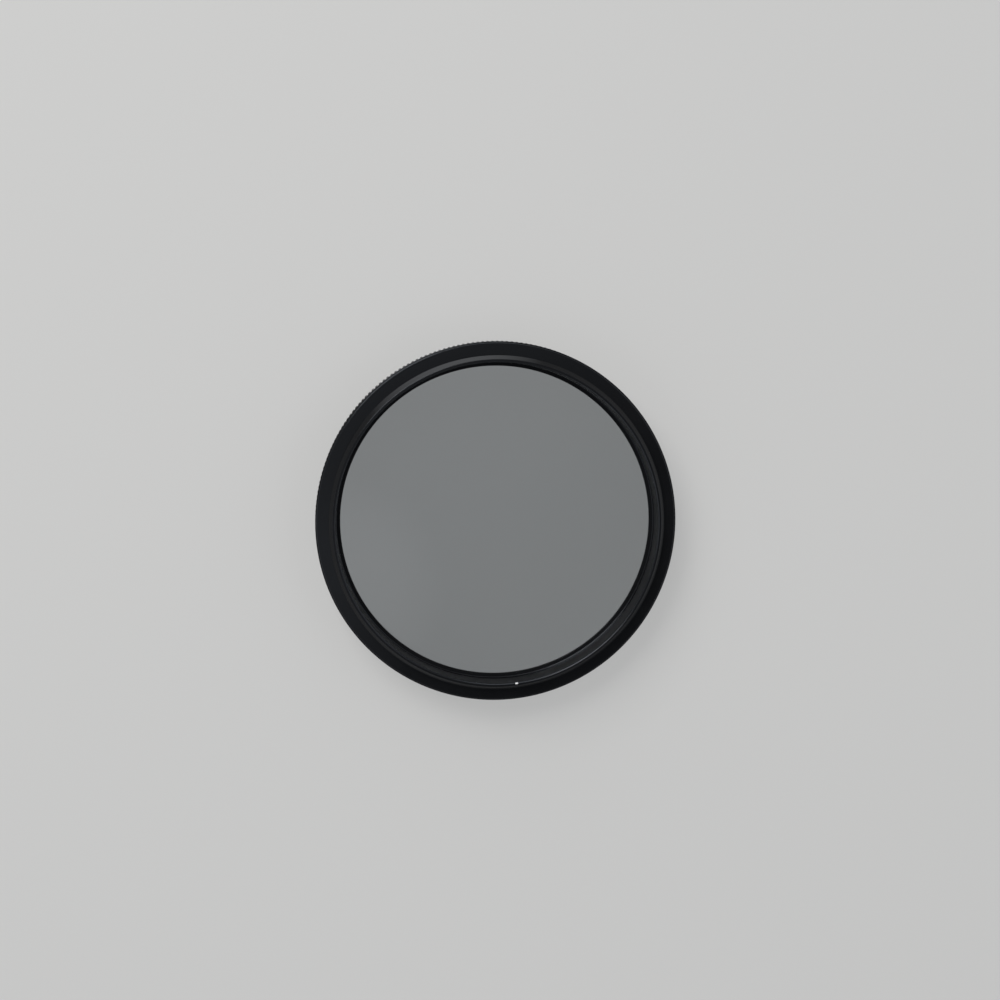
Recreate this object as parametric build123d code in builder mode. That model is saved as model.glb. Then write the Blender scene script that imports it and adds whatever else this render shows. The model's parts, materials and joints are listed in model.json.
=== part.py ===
"""Rotating polarising filter that screws into the front of a camera lens.

It lies on its front rim: the axis is +Z, the floor is at zero, and the lens thread points up. Lengths are in
millimetres. Radii build outwards from the lens thread, and heights stack upwards from the front rim.
"""

import math
import os

from build123d import *

# Lens thread at the top, drawn as a plain wall at the crests of its ridges
thread_diameter = 54.9
thread_height = 2.35
thread_wall = 1.15
thread_relief_depth = 0.3
thread_relief_height = 0.2
lead_bevel_width = 0.65
lead_bevel_height = 1.05
mouth_chamfer = 0.15

# Shoulder of the mount ring, a little smaller than the grip of the rotating ring
shoulder_width = 2.22
flange_thickness = 1.3
flange_chamfer = 0.3

# Sleeve of the mount ring, which the rotating ring turns on
sleeve_wall = 1.7
sleeve_length = 1.2
sleeve_bevel_width = 0.45
sleeve_bevel_height = 0.95
running_clearance = 0.05
ring_gap = 0.1
sleeve_end_gap = 0.3
edge_break = 0.12

# Wire snap ring that holds the two rings together
wire_diameter = 0.5
wire_gap = 6.0
wire_clearance = 0.05
groove_below_flange = 0.6

# Grip of the rotating ring
grip_overhang = 0.08
knurl_count = 234
knurl_depth = 0.25
knurl_margin = 0.05
grip_front_land = 0.9
grip_rear_land = 0.3
rim_chamfer = 0.35

# Lip that the glass rests against, a bevelled step below the end of the sleeve
lip_overhang = 0.6
lip_thickness = 0.4
lip_step = 0.1

# Cemented glass: two discs with the polarising film between them
glass_seat_width = 0.95
glass_clearance = 0.1
glass_thickness = 0.75
glass_bevel = 0.15
film_thickness = 0.1

# Retaining ring in front of the glass, with two slots for a spanner
retainer_height = 0.8
retainer_rim_width = 0.55
retainer_clearance = 0.05
retainer_bevel = 0.15
spanner_slot_count = 2
spanner_slot_width = 1.6
spanner_slot_depth = 0.5

# Front thread of the filter's own size, drawn as a plain wall at the crests of its ridges
thread_overlap = 0.35
front_thread_depth = 2.1
front_mouth_chamfer = 0.3
retainer_step = 0.3

# Radii, outwards from the lens thread
thread_radius = thread_diameter / 2
bore_radius = thread_radius - thread_wall
sleeve_radius = bore_radius + sleeve_wall
body_radius = thread_radius + shoulder_width
grip_radius = body_radius + grip_overhang
land_radius = grip_radius - knurl_depth - knurl_margin
aperture_radius = bore_radius - lip_overhang
glass_radius = aperture_radius + glass_seat_width
pocket_radius = glass_radius + glass_clearance
front_thread_radius = thread_radius - thread_overlap
retainer_bore_radius = front_thread_radius - retainer_step
bearing_radius = sleeve_radius + running_clearance
groove_width = wire_diameter + 2 * wire_clearance
wire_radius = wire_diameter / 2
wire_ring_radius = bearing_radius

# Heights, upwards from the front rim
retainer_bottom = front_thread_depth
front_glass_bottom = retainer_bottom + retainer_height
film_bottom = front_glass_bottom + glass_thickness
rear_glass_bottom = film_bottom + film_thickness
lip_bottom = rear_glass_bottom + glass_thickness
lip_top = lip_bottom + lip_thickness
step_top = lip_top + lip_step
sleeve_end = step_top + sleeve_end_gap
flange_bottom = sleeve_end + sleeve_length
flange_top = flange_bottom + flange_thickness
thread_top = flange_top + thread_height
ring_top = flange_bottom - ring_gap
groove_height = flange_bottom - groove_below_flange

os.makedirs("parts", exist_ok=True)

# Mount ring: lens thread, shoulder and sleeve turned in one piece
with BuildPart() as mount_ring:
    with BuildSketch(Plane.XZ):
        with BuildLine():
            Polyline(
                (bore_radius, sleeve_end + sleeve_bevel_height),
                (bore_radius + sleeve_bevel_width, sleeve_end),
                (sleeve_radius - edge_break, sleeve_end),
                (sleeve_radius, sleeve_end + edge_break),
                (sleeve_radius, flange_bottom),
                (body_radius - edge_break, flange_bottom),
                (body_radius, flange_bottom + edge_break),
                (body_radius, flange_top - flange_chamfer),
                (body_radius - flange_chamfer, flange_top),
                (thread_radius - thread_relief_depth, flange_top),
                (thread_radius - thread_relief_depth, flange_top + thread_relief_height),
                (thread_radius, flange_top + thread_relief_height + thread_relief_depth),
                (thread_radius, thread_top - lead_bevel_height),
                (thread_radius - lead_bevel_width, thread_top),
                (bore_radius + mouth_chamfer, thread_top),
                (bore_radius, thread_top - mouth_chamfer),
                close=True,
            )
        make_face()
        # Deep groove, so that the wire can be squeezed in as the rings are pushed together
        with Locations((sleeve_radius, groove_height)):
            Rectangle(2 * (wire_diameter + wire_clearance), groove_width, mode=Mode.SUBTRACT)
    revolve(axis=Axis.Z)
mount_ring.part.label = "mount_ring"
export_step(mount_ring.part, "parts/mount_ring.step")

# Rotating ring: a grooved bar for the grip, then turned to its section
with BuildPart() as rotating_ring:
    with BuildSketch():
        Circle(grip_radius)
        with PolarLocations(grip_radius, knurl_count):
            RegularPolygon(knurl_depth, 4, mode=Mode.SUBTRACT)
    extrude(amount=ring_top)
    with BuildSketch(Plane.XZ):
        # The grip band stands out past the bar, so that the knurl keeps its own tips
        grip_outside = grip_radius + knurl_depth
        grip_rise = grip_outside - land_radius
        with BuildLine():
            Polyline(
                (front_thread_radius + front_mouth_chamfer, 0),
                (land_radius - rim_chamfer, 0),
                (land_radius, rim_chamfer),
                (land_radius, grip_front_land),
                (grip_outside, grip_front_land + grip_rise),
                (grip_outside, ring_top - grip_rear_land - grip_rise),
                (land_radius, ring_top - grip_rear_land),
                (land_radius, ring_top - edge_break),
                (land_radius - edge_break, ring_top),
                (bearing_radius, ring_top),
                (bearing_radius, step_top),
                (bore_radius + lip_step, step_top),
                (bore_radius, lip_top),
                (aperture_radius, lip_top),
                (aperture_radius, lip_bottom),
                (pocket_radius, lip_bottom),
                (pocket_radius, front_glass_bottom),
                (retainer_bore_radius, front_glass_bottom),
                (retainer_bore_radius, front_thread_depth),
                (front_thread_radius, front_thread_depth),
                (front_thread_radius, front_mouth_chamfer),
                close=True,
            )
        make_face()
        # Shallow groove, as deep as the half of the wire that springs out into it
        with Locations((bearing_radius, groove_height)):
            Rectangle(2 * (wire_radius + wire_clearance), groove_width, mode=Mode.SUBTRACT)
    revolve(axis=Axis.Z, mode=Mode.INTERSECT)
rotating_ring.part.label = "rotating_ring"
export_step(rotating_ring.part, "parts/rotating_ring.step")

# Snap ring: an open ring of round wire, half in each groove
wire_gap_angle = math.degrees(wire_gap / wire_ring_radius)
with BuildPart() as snap_ring:
    with BuildSketch(Plane.XZ):
        with Locations((wire_ring_radius, groove_height)):
            Circle(wire_radius)
    revolve(axis=Axis.Z, revolution_arc=360 - wire_gap_angle)
snap_ring.part.label = "snap_ring"
export_step(snap_ring.part, "parts/snap_ring.step")

# Rear glass: the disc that shows from the lens side
with BuildPart() as rear_glass:
    with BuildSketch(Plane.XY.offset(rear_glass_bottom)):
        Circle(glass_radius)
    extrude(amount=glass_thickness)
    chamfer(rear_glass.edges().group_by(Axis.Z)[-1], glass_bevel)
rear_glass.part.label = "rear_glass"
export_step(rear_glass.part, "parts/rear_glass.step")

# Polarising film between the discs
with BuildPart() as polarizing_film:
    with BuildSketch(Plane.XY.offset(film_bottom)):
        Circle(glass_radius)
    extrude(amount=film_thickness)
polarizing_film.part.label = "polarizing_film"
export_step(polarizing_film.part, "parts/polarizing_film.step")

# Front glass: the disc that faces the subject
with BuildPart() as front_glass:
    with BuildSketch(Plane.XY.offset(front_glass_bottom)):
        Circle(glass_radius)
    extrude(amount=glass_thickness)
    chamfer(front_glass.edges().group_by(Axis.Z)[0], glass_bevel)
front_glass.part.label = "front_glass"
export_step(front_glass.part, "parts/front_glass.step")

# Retaining ring: slotted for a spanner on the side that faces the subject
retainer_radius = retainer_bore_radius - retainer_clearance
retainer_opening_radius = retainer_radius - retainer_rim_width
with BuildPart() as retaining_ring:
    with BuildSketch(Plane.XY.offset(retainer_bottom)):
        Circle(retainer_radius)
        Circle(retainer_opening_radius, mode=Mode.SUBTRACT)
    extrude(amount=retainer_height)
    front_inner_edge = retaining_ring.edges().group_by(Axis.Z)[0].sort_by(SortBy.RADIUS)[0]
    chamfer(front_inner_edge, retainer_bevel)
    with BuildSketch(Plane.XY.offset(retainer_bottom)):
        with PolarLocations(retainer_radius - retainer_rim_width / 2, spanner_slot_count):
            Rectangle(2 * retainer_rim_width, spanner_slot_width)
    extrude(amount=spanner_slot_depth, mode=Mode.SUBTRACT)
retaining_ring.part.label = "retaining_ring"
export_step(retaining_ring.part, "parts/retaining_ring.step")
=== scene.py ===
import json
import math
import random

import bpy
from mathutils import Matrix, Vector


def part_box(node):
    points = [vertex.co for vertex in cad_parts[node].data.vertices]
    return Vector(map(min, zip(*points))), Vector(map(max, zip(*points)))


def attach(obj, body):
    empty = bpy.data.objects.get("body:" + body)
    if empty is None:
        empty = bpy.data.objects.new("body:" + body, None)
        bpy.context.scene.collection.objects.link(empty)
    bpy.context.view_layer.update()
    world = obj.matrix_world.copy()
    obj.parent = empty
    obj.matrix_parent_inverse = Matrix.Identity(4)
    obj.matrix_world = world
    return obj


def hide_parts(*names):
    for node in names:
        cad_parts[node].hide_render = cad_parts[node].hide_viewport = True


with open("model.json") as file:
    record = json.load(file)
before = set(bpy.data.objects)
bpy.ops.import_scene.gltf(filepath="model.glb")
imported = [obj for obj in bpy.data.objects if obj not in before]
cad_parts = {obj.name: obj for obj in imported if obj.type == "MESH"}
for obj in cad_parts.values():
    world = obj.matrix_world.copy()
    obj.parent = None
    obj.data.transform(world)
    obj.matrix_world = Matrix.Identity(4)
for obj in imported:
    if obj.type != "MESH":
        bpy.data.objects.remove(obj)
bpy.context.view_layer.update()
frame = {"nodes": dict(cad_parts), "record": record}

MM = 0.001
TURN = 2 * math.pi

# Radii and heights that come from the frame
mount_low, mount_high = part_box("mount_ring")
rotor_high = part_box("rotating_ring")[1]
rear_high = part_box("rear_glass")[1]
front_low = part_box("front_glass")[0]
retainer_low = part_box("retaining_ring")[0]
wire_low, wire_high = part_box("snap_ring")
mounts = {mount["name"]: mount for mount in frame["record"]["mounts"]}

body_radius = mount_high.x
grip_radius = rotor_high.y
glass_radius = rear_high.x
thread_radius = mounts["lens_thread"]["dims"]["r_mm"] * MM
front_thread_radius = mounts["front_thread"]["dims"]["r_mm"] * MM
sleeve_end = mount_low.z
thread_top = mount_high.z
ring_top = rotor_high.z
glass_bottom = front_low.z
glass_top = rear_high.z
front_thread_depth = retainer_low.z
groove_height = (wire_low.z + wire_high.z) / 2

# Details of the turned rings
thread_height = 2.35 * MM
thread_wall = 1.15 * MM
relief_depth = 0.3 * MM
relief_height = 0.2 * MM
lead_bevel_width = 0.65 * MM
lead_bevel_height = 1.05 * MM
mouth_chamfer = 0.15 * MM
flange_thickness = 1.3 * MM
flange_chamfer = 0.3 * MM
sleeve_wall = 1.7 * MM
sleeve_bevel_width = 0.45 * MM
sleeve_bevel_height = 0.95 * MM
running_clearance = 0.05 * MM
sleeve_end_gap = 0.3 * MM
edge_break = 0.12 * MM
wire_groove_width = 0.6 * MM
mount_groove_depth = 0.55 * MM
ring_groove_depth = 0.3 * MM
knurl_count = 234
knurl_depth = 0.25 * MM
knurl_margin = 0.05 * MM
grip_front_land = 0.9 * MM
grip_rear_land = 0.3 * MM
rim_chamfer = 0.35 * MM
lip_overhang = 0.6 * MM
lip_step = 0.1 * MM
glass_clearance = 0.1 * MM
glass_bevel = 0.15 * MM
retainer_step = 0.3 * MM
front_mouth_chamfer = 0.3 * MM

# Ridges of both threads, whose flat root and flanks are shares of the half pitch
pitch = 0.75 * MM
thread_depth = 0.43 * MM
thread_fade = 0.2 * MM
root_share = 0.12
flank_share = 0.7
ridge_overlap = 0.02 * MM
ridge_gap = 0.01 * MM

# Eased edges, as a length and as the largest share of a side or of half a groove
edge_radius = 0.035 * MM
edge_share = 0.35
knurl_edge_share = 0.16

# Fineness of the meshes
lens_thread_rows = 14
front_thread_rows = 12
grip_steps = 6
mount_columns = 540
front_thread_columns = 480
glass_columns = 256

bore_radius = thread_radius - thread_wall
sleeve_radius = bore_radius + sleeve_wall
bearing_radius = sleeve_radius + running_clearance
land_radius = grip_radius - knurl_depth - knurl_margin
aperture_radius = bore_radius - lip_overhang
pocket_radius = glass_radius + glass_clearance
retainer_bore_radius = front_thread_radius - retainer_step
flange_top = thread_top - thread_height
flange_bottom = flange_top - flange_thickness
thread_start = flange_top + relief_height
step_top = sleeve_end - sleeve_end_gap
lip_top = step_top - lip_step
groove_top = groove_height + wire_groove_width / 2
groove_bottom = groove_height - wire_groove_width / 2


def soften(corners, radius, sharp=()):
    """Closed section with its corners eased by small arcs, apart from those that stay sharp."""
    eased = []
    for index, corner in enumerate(corners):
        if corner in sharp:
            eased.append(corner)
            continue
        here = Vector(corner)
        before = Vector(corners[index - 1]) - here
        after = Vector(corners[(index + 1) % len(corners)]) - here
        reach = min(radius, edge_share * before.length, edge_share * after.length)
        start = here + before.normalized() * reach
        end = here + after.normalized() * reach
        middle = (start + end) / 4 + here / 2
        eased += [tuple(start), tuple(middle), tuple(end)]
    return eased


def fill_rows(section, low, high, step):
    """Section with extra points on the sides between two heights, so that a thread can be cut there."""
    filled = []
    for index, point in enumerate(section):
        filled.append(point)
        after = section[(index + 1) % len(section)]
        inside = low <= min(point[1], after[1]) and max(point[1], after[1]) <= high
        count = int(abs(after[1] - point[1]) / step) if inside else 0
        for k in range(1, count + 1):
            share = k / (count + 1)
            radius = point[0] + (after[0] - point[0]) * share
            height = point[1] + (after[1] - point[1]) * share
            filled.append((radius, height))
    return filled


def add_mesh(name, vertices, faces, smooth):
    """Object in the scene. Smooth shading is weighted, so that flat faces look flat."""
    mesh = bpy.data.meshes.new(name)
    mesh.from_pydata(vertices, [], faces)
    mesh.polygons.foreach_set("use_smooth", [smooth] * len(mesh.polygons))
    mesh.update()
    piece = bpy.data.objects.new(name, mesh)
    bpy.context.scene.collection.objects.link(piece)
    if smooth:
        weighting = piece.modifiers.new("flat faces", "WEIGHTED_NORMAL")
        weighting.weight = 100
    return piece


def band_faces(low, high, columns):
    """Faces between two rows of points round a ring, each row given by its first point."""
    faces = []
    for j in range(columns):
        k = (j + 1) % columns
        faces.append((low + j, low + k, high + k, high + j))
    return faces


def turned(name, section, angles, radius_at):
    """Ring of a closed section. radius_at gives the radius at an angle for each point of the section."""
    vertices = []
    for radius, height in section:
        for angle in angles:
            r = radius_at(radius, height, angle)
            vertices.append((r * math.cos(angle), r * math.sin(angle), height))
    columns = len(angles)
    rows = len(section)
    faces = []
    for i in range(rows):
        faces += band_faces(i * columns, (i + 1) % rows * columns, columns)
    return add_mesh(name, vertices, faces, True)


def even_angles(count):
    """Angles that share out a whole turn."""
    return [TURN * k / count for k in range(count)]


def thread_ridge(height, angle):
    """Share of the thread's depth that is left at a point of a right-handed thread."""
    phase = (height / pitch - angle / TURN) % 1
    slope = abs(phase - 0.5) * 2
    return min(1, max(0, (slope - root_share) / flank_share))


def mount_radius(radius, height, angle):
    """Lens thread cut into the outside of the tube, fading out below its lead bevel."""
    outside = radius > thread_radius - thread_depth and height > thread_start
    if not outside:
        return radius
    below_bevel = (thread_top - lead_bevel_height - height) / thread_fade
    cut = thread_depth * min(1, max(0, below_bevel)) * (1 - thread_ridge(height, angle))
    return min(radius, thread_radius - cut)


# Mount ring with its lens thread
mount_section = soften(
    [
        (bore_radius, sleeve_end + sleeve_bevel_height),
        (bore_radius, thread_top - mouth_chamfer),
        (bore_radius + mouth_chamfer, thread_top),
        (thread_radius - lead_bevel_width, thread_top),
        (thread_radius, thread_top - lead_bevel_height),
        (thread_radius, thread_start + relief_depth),
        (thread_radius - relief_depth, thread_start),
        (thread_radius - relief_depth, flange_top),
        (body_radius - flange_chamfer, flange_top),
        (body_radius, flange_top - flange_chamfer),
        (body_radius, flange_bottom + edge_break),
        (body_radius - edge_break, flange_bottom),
        (sleeve_radius, flange_bottom),
        (sleeve_radius, groove_top),
        (sleeve_radius - mount_groove_depth, groove_top),
        (sleeve_radius - mount_groove_depth, groove_bottom),
        (sleeve_radius, groove_bottom),
        (sleeve_radius, sleeve_end + edge_break),
        (sleeve_radius - edge_break, sleeve_end),
        (bore_radius + sleeve_bevel_width, sleeve_end),
    ],
    edge_radius,
)
mount_section = fill_rows(mount_section, thread_start, thread_top, pitch / lens_thread_rows)
mount = turned("threaded_mount_ring", mount_section[::-1], even_angles(mount_columns), mount_radius)
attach(mount, "mount")
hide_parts("mount_ring")


# Rotating ring with its knurled grip
def knurl_angles():
    """Six angles a tooth: the groove's bottom, the eased edges on both sides and the middle of the land."""
    half_groove = knurl_depth / grip_radius
    ease = knurl_edge_share * half_groove
    tooth = TURN / knurl_count
    rise = [half_groove - ease, half_groove + ease]
    offsets = [0, *rise, tooth / 2, *[tooth - edge for edge in rise[::-1]]]
    return [k * tooth + offset for k in range(knurl_count) for offset in offsets]


def rotor_radius(radius, height, angle):
    """V grooves of the grip, cut where the section stands proud of the land."""
    if radius <= land_radius:
        return radius
    tooth = TURN / knurl_count
    off = angle % tooth
    off = min(off, tooth - off) * grip_radius
    groove = max(0, knurl_depth - off)
    return min(radius, grip_radius - groove)


grip_top = ring_top - grip_rear_land
grip_rise = grip_radius - land_radius
grip_rises = [grip_rise * k / grip_steps for k in range(1, grip_steps + 1)]
grip_start = [(land_radius + rise, grip_front_land + rise) for rise in grip_rises]
grip_end = [(radius, grip_top - (radius - land_radius)) for radius, _ in grip_start[::-1]]
grip = [(land_radius, grip_front_land), *grip_start, *grip_end, (land_radius, grip_top)]
bearing = [
    (bearing_radius, groove_top),
    (bearing_radius + ring_groove_depth, groove_top),
    (bearing_radius + ring_groove_depth, groove_bottom),
    (bearing_radius, groove_bottom),
    (bearing_radius, step_top),
]
glass_seat = [
    (pocket_radius, glass_top),
    (pocket_radius, glass_bottom),
    (retainer_bore_radius, glass_bottom),
    (retainer_bore_radius, front_thread_depth),
    (front_thread_radius + thread_depth, front_thread_depth),
]
rotor_section = soften(
    [
        (front_thread_radius + front_mouth_chamfer, 0),
        (land_radius - rim_chamfer, 0),
        (land_radius, rim_chamfer),
        *grip,
        (land_radius, ring_top - edge_break),
        (land_radius - edge_break, ring_top),
        (bearing_radius, ring_top),
        *bearing,
        (bore_radius + lip_step, step_top),
        (bore_radius, lip_top),
        (aperture_radius, lip_top),
        (aperture_radius, glass_top),
        *glass_seat,
        (front_thread_radius + thread_depth, front_mouth_chamfer + thread_depth),
    ],
    edge_radius,
    grip + bearing + glass_seat,
)
rotor = turned("knurled_rotating_ring", rotor_section, knurl_angles(), rotor_radius)
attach(rotor, "rotor")
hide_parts("rotating_ring")


# Ridges of the front thread, set into the wall of the rotating ring
def front_radius(radius, height, angle):
    """Front thread cut into the inside of its ring of ridges."""
    if radius > front_thread_radius + thread_depth:
        return radius
    return max(radius, front_thread_radius + thread_depth * (1 - thread_ridge(height, angle)))


seat = front_thread_radius + thread_depth + ridge_overlap
front_section = [
    (seat, front_thread_depth - ridge_gap),
    (front_thread_radius, front_thread_depth - ridge_gap),
    (front_thread_radius, front_mouth_chamfer),
    (seat, front_mouth_chamfer + seat - front_thread_radius),
]
front_section = fill_rows(front_section, front_mouth_chamfer, front_thread_depth, pitch / front_thread_rows)
front_thread = turned("front_thread_ridges", front_section, even_angles(front_thread_columns), front_radius)
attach(front_thread, "rotor")


# Cemented glass as one disc
def glass_disc(name, radius, bottom, top, bevel, columns):
    """Disc with flat shading and a bevel at both ends."""
    section = [
        (radius - bevel, bottom),
        (radius, bottom + bevel),
        (radius, top - bevel),
        (radius - bevel, top),
    ]
    angles = even_angles(columns)
    vertices = [(r * math.cos(a), r * math.sin(a), z) for r, z in section for a in angles]
    last = (len(section) - 1) * columns
    faces = [tuple(range(columns))[::-1]]
    for low in range(0, last, columns):
        faces += band_faces(low, low + columns, columns)
    faces.append(tuple(range(last, last + columns)))
    return add_mesh(name, vertices, faces, False)


glass = glass_disc("polarising_glass", glass_radius, glass_bottom, glass_top, glass_bevel, glass_columns)
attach(glass, "rotor")
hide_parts("rear_glass", "polarizing_film", "front_glass")

# Specks of dust on the rear of the glass: places and sizes in millimetres, shares of a speck's size
dust_places = [
    (-12.5, 7.1, 0.2),
    (-7.3, 8.4, 0.16),
    (-18.4, -8.3, 0.18),
    (7.5, -7.1, 0.16),
    (9.2, -8.3, 0.13),
]
dust_seed = 12
small_specks = 26
small_speck_field = 25
small_speck_size = 0.04
small_speck_spread = 0.06
speck_sides = 7
speck_reach = 0.35
speck_spread = 0.3
speck_rise = 0.3


def speck(centre, size, chance):
    """Low mound with an uneven outline."""
    ring = []
    for k in range(speck_sides):
        angle = TURN * k / speck_sides
        reach = size * (speck_reach + speck_spread * chance.random())
        ring.append((centre[0] + reach * math.cos(angle), centre[1] + reach * math.sin(angle), centre[2]))
    top = (centre[0], centre[1], centre[2] + speck_rise * size)
    return ring + [top]


chance = random.Random(dust_seed)
for _ in range(small_specks):
    angle = TURN * chance.random()
    reach = small_speck_field * math.sqrt(chance.random())
    size = small_speck_size + small_speck_spread * chance.random()
    dust_places.append((reach * math.cos(angle), reach * math.sin(angle), size))
dust_vertices = []
dust_faces = []
for x, y, size in dust_places:
    first = len(dust_vertices)
    top = first + speck_sides
    dust_vertices += speck((x * MM, y * MM, glass_top), size * MM, chance)
    dust_faces += [(first + k, first + (k + 1) % speck_sides, top) for k in range(speck_sides)]
    dust_faces.append(tuple(range(first, top))[::-1])
dust = add_mesh("dust_specks", dust_vertices, dust_faces, False)
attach(dust, "rotor")


# Materials
class Nodes:
    """Short way to build a material's nodes."""

    def __init__(self, name):
        self.material = bpy.data.materials.new(name)
        self.material.use_nodes = True
        self.tree = self.material.node_tree
        self.tree.nodes.clear()
        self.output = self.add("ShaderNodeOutputMaterial")

    def add(self, kind, inputs=(), **settings):
        node = self.tree.nodes.new(kind)
        for key, value in settings.items():
            setattr(node, key, value)
        for key, value in dict(inputs).items():
            self.set(node.inputs[key], value)
        return node

    def set(self, socket, value):
        if isinstance(value, bpy.types.NodeSocket):
            self.tree.links.new(value, socket)
        else:
            socket.default_value = value

    def place(self):
        """The shaded point on its object."""
        return self.add("ShaderNodeTexCoord").outputs["Object"]

    def noise(self, place, scale, **inputs):
        """Soft noise between 0 and 1."""
        node = self.add("ShaderNodeTexNoise", {"Vector": place, "Scale": scale, **inputs})
        return node.outputs["Fac"]

    def vector(self, operation, first, second=None, output="Value"):
        inputs = {0: first} if second is None else {0: first, 1: second}
        return self.add("ShaderNodeVectorMath", inputs, operation=operation).outputs[output]

    def math(self, operation, first, second=0.0, clamp=False):
        node = self.add("ShaderNodeMath", {0: first, 1: second}, operation=operation, use_clamp=clamp)
        return node.outputs[0]

    def spread(self, value, low, high, from_low=0.0, from_high=1.0):
        """Value stretched to run from low to high, and held there outside its own range."""
        node = self.add(
            "ShaderNodeMapRange",
            {"Value": value, "From Min": from_low, "From Max": from_high, "To Min": low, "To Max": high},
        )
        return node.outputs["Result"]

    def colours(self, share, first, second):
        """Blend of two colours, each a triple or an output of another node."""
        first, second = [(*c, 1) if isinstance(c, tuple) else c for c in (first, second)]
        node = self.add("ShaderNodeMix", {"Factor": share, 6: first, 7: second}, data_type="RGBA")
        return node.outputs[2]

    def surface(self, inputs):
        """Finished material with a Principled surface."""
        return self.finish(self.add("ShaderNodeBsdfPrincipled", inputs))

    def finish(self, shader):
        self.tree.links.new(shader.outputs[0], self.output.inputs["Surface"])
        return self.material


def turned_lines(nodes, place):
    """Radius and height of a point in millimetres, for lines that run round the ring."""
    parts = nodes.add("ShaderNodeSeparateXYZ", {0: place})
    flat = nodes.add("ShaderNodeCombineXYZ", {"X": parts.outputs["X"], "Y": parts.outputs["Y"]})
    radius = nodes.math("MULTIPLY", nodes.vector("LENGTH", flat.outputs[0]), 1 / MM)
    height = nodes.math("MULTIPLY", parts.outputs["Z"], 1 / MM)
    lines = nodes.add("ShaderNodeCombineXYZ", {"X": radius, "Y": height})
    return lines.outputs[0]


# Bare nick on the inner edge of the tube's mouth, bright to its core and gone at its reach
nick_angle = math.radians(276.8)
nick_radius = bore_radius + 0.6 * mouth_chamfer
nick_height = thread_top - 0.4 * mouth_chamfer
nick_place = (nick_radius * math.cos(nick_angle), nick_radius * math.sin(nick_angle), nick_height)
nick_core = 0.16 * MM
nick_reach = 0.28 * MM
nick_roughness = 0.35
bare_metal = (0.92, 0.92, 0.93)


def anodised(name, roughness_low, roughness_high, sheen, nicked=False):
    """Black anodised aluminium with fine turning lines, and with the bare nick where it is wanted."""
    nodes = Nodes(name)
    place = nodes.place()
    lines = turned_lines(nodes, place)
    fine = nodes.noise(lines, 9.0, Detail=3.0, Roughness=0.6)
    cloud = nodes.noise(place, 160.0, Detail=4.0, Roughness=0.6)
    grain = nodes.noise(place, 5200.0, Detail=2.0)
    dark = nodes.colours(cloud, (0.0030, 0.0030, 0.0034), (0.0055, 0.0055, 0.0060))
    fleck = nodes.spread(grain, 0.0, 1.0, from_low=0.7, from_high=0.78)
    fleck = nodes.math("MULTIPLY", fleck, 0.12)
    colour = nodes.colours(fleck, dark, (0.05, 0.05, 0.052))
    roughness = nodes.spread(cloud, roughness_low, roughness_high, from_low=0.3, from_high=0.7)
    metallic = 0.0
    if nicked:
        away = nodes.vector("DISTANCE", place, nick_place)
        metallic = nodes.spread(away, 1.0, 0.0, from_low=nick_core, from_high=nick_reach)
        colour = nodes.colours(metallic, colour, bare_metal)
        roughness = nodes.math("MAXIMUM", roughness, nodes.math("MULTIPLY", metallic, nick_roughness))
    bump = nodes.add("ShaderNodeBump", {"Strength": 0.12, "Distance": 0.02 * MM, "Height": fine})
    return nodes.surface(
        {
            "Base Color": colour,
            "Roughness": roughness,
            "Metallic": metallic,
            "Specular IOR Level": sheen,
            "Specular Tint": (0.84, 0.9, 1.0, 1),
            "Normal": bump.outputs[0],
        },
    )


def spring_wire():
    """Bright drawn steel with faint changes of tone."""
    nodes = Nodes("spring wire")
    drawn = nodes.noise(nodes.place(), 900.0, Detail=3.0)
    colour = nodes.colours(drawn, (0.46, 0.46, 0.47), (0.62, 0.62, 0.63))
    return nodes.surface({"Base Color": colour, "Metallic": 1.0, "Roughness": 0.28})


def polariser_glass():
    """Neutral grey glass with a very faint change of tone over the disc."""
    nodes = Nodes("polarising glass")
    cloud = nodes.noise(nodes.place(), 45.0, Detail=2.0)
    colour = nodes.colours(cloud, (0.354, 0.37, 0.381), (0.368, 0.382, 0.39))
    return nodes.surface({"Base Color": colour, "Transmission Weight": 1.0, "Roughness": 0.0, "IOR": 1.52})


def dust_material():
    """Dull grey-brown dust."""
    nodes = Nodes("dust")
    cloud = nodes.noise(nodes.place(), 400.0, Detail=1.0)
    colour = nodes.colours(cloud, (0.10, 0.095, 0.09), (0.20, 0.19, 0.18))
    return nodes.surface({"Base Color": colour, "Roughness": 0.9})


def paint_inside(piece, radius, low):
    """Second finish of a ring on the faces that lie within a radius and above a height."""
    for face in piece.data.polygons:
        if face.center.xy.length < radius and face.center.z > low:
            face.material_index = 1


def dress(node, material):
    """Only material of a piece that keeps its CAD form."""
    mesh = frame["nodes"][node].data
    mesh.materials.clear()
    mesh.materials.append(material)


satin = {"roughness_low": 0.13, "roughness_high": 0.18, "sheen": 0.5}
black = anodised("black anodised", **satin)
matt_black = anodised("matt black anodised", roughness_low=0.5, roughness_high=0.6, sheen=0.27)
dull_black = anodised("dull black anodised", roughness_low=0.22, roughness_high=0.28, sheen=0.25)
bore_margin = 0.02 * MM
mount.data.materials.append(anodised("black anodised mount", **satin, nicked=True))
mount.data.materials.append(matt_black)
paint_inside(mount, bore_radius + bore_margin, sleeve_end)
rotor.data.materials.append(black)
rotor.data.materials.append(dull_black)
paint_inside(rotor, bore_radius + lip_step, glass_top)
front_thread.data.materials.append(matt_black)
glass.data.materials.append(polariser_glass())
dust.data.materials.append(dust_material())
dress("retaining_ring", black)
dress("snap_ring", spring_wire())


def heading(degrees):
    """Level direction at an angle round the part."""
    turn = math.radians(degrees)
    return (math.cos(turn), math.sin(turn), 0)


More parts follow.
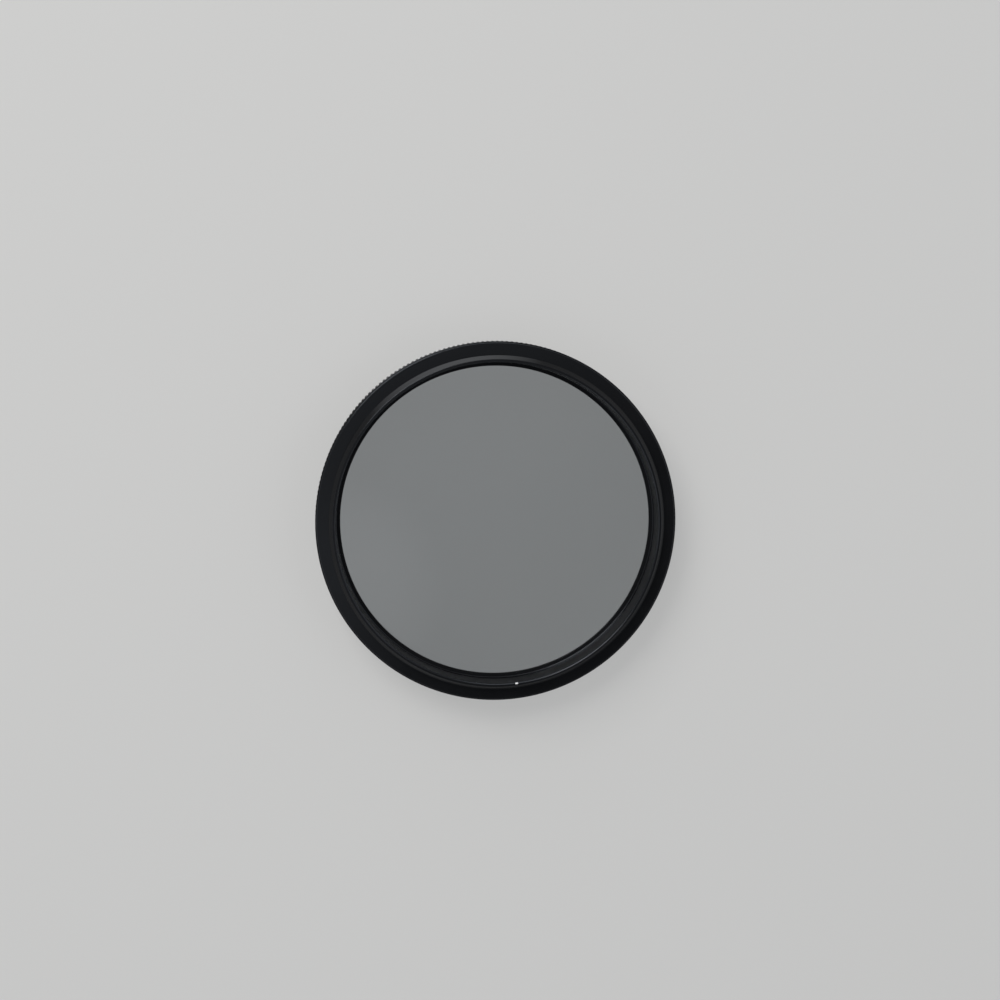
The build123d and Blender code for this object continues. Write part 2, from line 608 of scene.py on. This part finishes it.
# Floor that keeps the shadow and shows pale in the picture, in reflections and through the glass
floor_tone = (0.60, 0.60, 0.595)
floor_corners = [(-3, -3, 0), (3, -3, 0), (3, 3, 0), (-3, 3, 0)]
floor = add_mesh("floor", floor_corners, [(0, 1, 2, 3)], False)
floor_nodes = Nodes("floor")
light_path = floor_nodes.add("ShaderNodeLightPath")
floor_place = floor_nodes.place()
floor_reach = floor_nodes.vector("LENGTH", floor_place)

# Share of the floor's look that is its own light, for each way it is seen
through_glass = light_path.outputs["Is Transmission Ray"]
far_floor = floor_nodes.spread(floor_reach, 0.6, 1.0, from_low=0.13, from_high=0.4)
in_view = floor_nodes.math("MULTIPLY", light_path.outputs["Is Camera Ray"], far_floor)
in_glass = floor_nodes.math("MULTIPLY", through_glass, 0.9)
in_metal = floor_nodes.math("SUBTRACT", light_path.outputs["Is Glossy Ray"], through_glass, clamp=True)
own_light = floor_nodes.math("MAXIMUM", in_view, in_glass)
own_light = floor_nodes.math("MAXIMUM", own_light, in_metal)

# In metal the floor shows painted light: its glow is brighter towards the bright side of the room, and
# dimmer further out
bright_side = heading(106)
floor_way = floor_nodes.vector("NORMALIZE", floor_place, output="Vector")
towards_light = floor_nodes.vector("DOT_PRODUCT", floor_way, bright_side)
painted_floor_glow = floor_nodes.spread(towards_light, 0.26, 1.65, from_low=0.83, from_high=1.0)
near_floor = floor_nodes.spread(floor_reach, 1.0, 0.2, from_low=0.065, from_high=0.12)
painted_floor_glow = floor_nodes.math("MULTIPLY", painted_floor_glow, near_floor)
change = floor_nodes.math("SUBTRACT", painted_floor_glow, 1.0)
strength = floor_nodes.math("ADD", 1.0, floor_nodes.math("MULTIPLY", in_metal, change))
matt = floor_nodes.add("ShaderNodeBsdfDiffuse", {"Color": (*floor_tone, 1)})
glow = floor_nodes.add("ShaderNodeEmission", {"Color": (*floor_tone, 1), "Strength": strength})
both = floor_nodes.add("ShaderNodeMixShader", {0: own_light, 1: matt.outputs[0], 2: glow.outputs[0]})
floor.data.materials.append(floor_nodes.finish(both))

# Soft studio light: a room that is dim around the camera, and lamps
world = bpy.data.worlds.new("studio")
bpy.context.scene.world = world
world.use_nodes = True
tree = world.node_tree
tree.nodes.clear()
room_place = tree.nodes.new("ShaderNodeTexCoord").outputs["Generated"]
room_axes = tree.nodes.new("ShaderNodeSeparateXYZ")
tree.links.new(room_place, room_axes.inputs[0])
sky_height = room_axes.outputs["Z"]


def room_band(measure, from_low, from_high, level):
    """Light that grows from none to a level between two values of a height or a side of the room."""
    band = tree.nodes.new("ShaderNodeMapRange")
    band.interpolation_type = "SMOOTHSTEP"
    band.inputs["From Min"].default_value = from_low
    band.inputs["From Max"].default_value = from_high
    band.inputs["To Min"].default_value = 0.0
    band.inputs["To Max"].default_value = level
    tree.links.new(measure, band.inputs["Value"])
    return band.outputs["Result"]


def room_math(operation, first, second):
    """Sum or product of two lights, the second of which may be a plain number."""
    result = tree.nodes.new("ShaderNodeMath")
    result.operation = operation
    tree.links.new(first, result.inputs[0])
    if isinstance(second, float):
        result.inputs[1].default_value = second
    else:
        tree.links.new(second, result.inputs[1])
    return result.outputs[0]


def room_side(way):
    """How far a direction of the room points a given way, where 1 is straight there."""
    side = tree.nodes.new("ShaderNodeVectorMath")
    side.operation = "DOT_PRODUCT"
    side.inputs[1].default_value = way
    tree.links.new(room_place, side.inputs[0])
    return side.outputs["Value"]


def backdrop(colour):
    """Background of an even colour."""
    background = tree.nodes.new("ShaderNodeBackground")
    background.inputs["Color"].default_value = (*colour, 1)
    return background


# The room's light: walls, a spot and a patch overhead, a low window on one side, and a little everywhere
walls = room_band(sky_height, from_low=0.97, from_high=0.78, level=0.32)
ceiling_spot = room_band(sky_height, from_low=0.975, from_high=1.0, level=0.2)
sky_patch_side = room_side((-0.033, -0.17, 0.985))
sky_patch = room_band(sky_patch_side, from_low=0.9965, from_high=0.9999, level=0.32)
window_sill = room_band(sky_height, from_low=0.12, from_high=0.18, level=1.0)
window_head = room_band(sky_height, from_low=0.45, from_high=0.33, level=1.0)
window_width = room_band(room_side(heading(103)), from_low=0.764, from_high=0.911, level=1.5)
window = room_math("MULTIPLY", room_math("MULTIPLY", window_sill, window_head), window_width)
around = room_math("ADD", walls, window)
overhead = room_math("ADD", ceiling_spot, sky_patch)
room_everywhere = 0.065
room_light = room_math("ADD", room_math("ADD", around, overhead), room_everywhere)
room = backdrop((0.96, 0.98, 1.0))
tree.links.new(room_light, room.inputs["Strength"])

# The camera itself sees the floor's tone behind the part
behind = backdrop(floor_tone)
behind.inputs["Strength"].default_value = 1.0
seen = tree.nodes.new("ShaderNodeLightPath")
choose = tree.nodes.new("ShaderNodeMixShader")
tree.links.new(seen.outputs["Is Camera Ray"], choose.inputs[0])
tree.links.new(room.outputs[0], choose.inputs[1])
tree.links.new(behind.outputs[0], choose.inputs[2])
world_output = tree.nodes.new("ShaderNodeOutputWorld")
tree.links.new(choose.outputs[0], world_output.inputs["Surface"])

lamp_distance = 0.62


def lamp(name, side, rise, width, height, power, colour):
    """Soft rectangular lamp that faces the object. Its side and rise are angles in degrees."""
    turn = math.radians(side)
    lift = math.radians(rise)
    away = Vector((math.cos(turn) * math.cos(lift), math.sin(turn) * math.cos(lift), math.sin(lift)))
    data = bpy.data.lights.new(name, "AREA")
    data.shape = "RECTANGLE"
    data.size = width
    data.size_y = height
    data.energy = power
    data.color = colour
    made = bpy.data.objects.new(name, data)
    made.location = lamp_distance * away
    made.rotation_mode = "QUATERNION"
    made.rotation_quaternion = (-away).to_track_quat("-Z", "Y")
    bpy.context.scene.collection.objects.link(made)


lamp("key", side=126, rise=45, width=0.34, height=0.34, power=2.6, colour=(1.0, 0.985, 0.96))
lamp("fill", side=6, rise=35, width=0.9, height=0.7, power=0.9, colour=(0.95, 0.975, 1.0))
lamp("low fill", side=215, rise=30, width=0.9, height=0.6, power=0.7, colour=(0.92, 0.96, 1.0))

# Camera that stands where the photo was taken from
aim_height = 7.2 * MM
camera_distance = 0.230
camera_tilt = math.radians(8.73)
camera_side = math.radians(124)
towards = Vector(
    (
        math.sin(camera_tilt) * math.cos(camera_side),
        math.sin(camera_tilt) * math.sin(camera_side),
        math.cos(camera_tilt),
    )
)
camera_data = bpy.data.cameras.new("camera")
camera_data.sensor_width = 36.0
camera_data.lens = 50.39
camera_data.shift_x = 0.0029
camera_data.shift_y = 0.02326
camera_data.clip_start = 0.01
camera = bpy.data.objects.new("camera", camera_data)
camera.location = Vector((0, 0, aim_height)) + camera_distance * towards
camera.rotation_mode = "QUATERNION"
camera.rotation_quaternion = Vector((0, 0, 1)).rotation_difference(towards)
bpy.context.scene.collection.objects.link(camera)
bpy.context.scene.camera = camera
bpy.context.scene.view_settings.view_transform = "Standard"
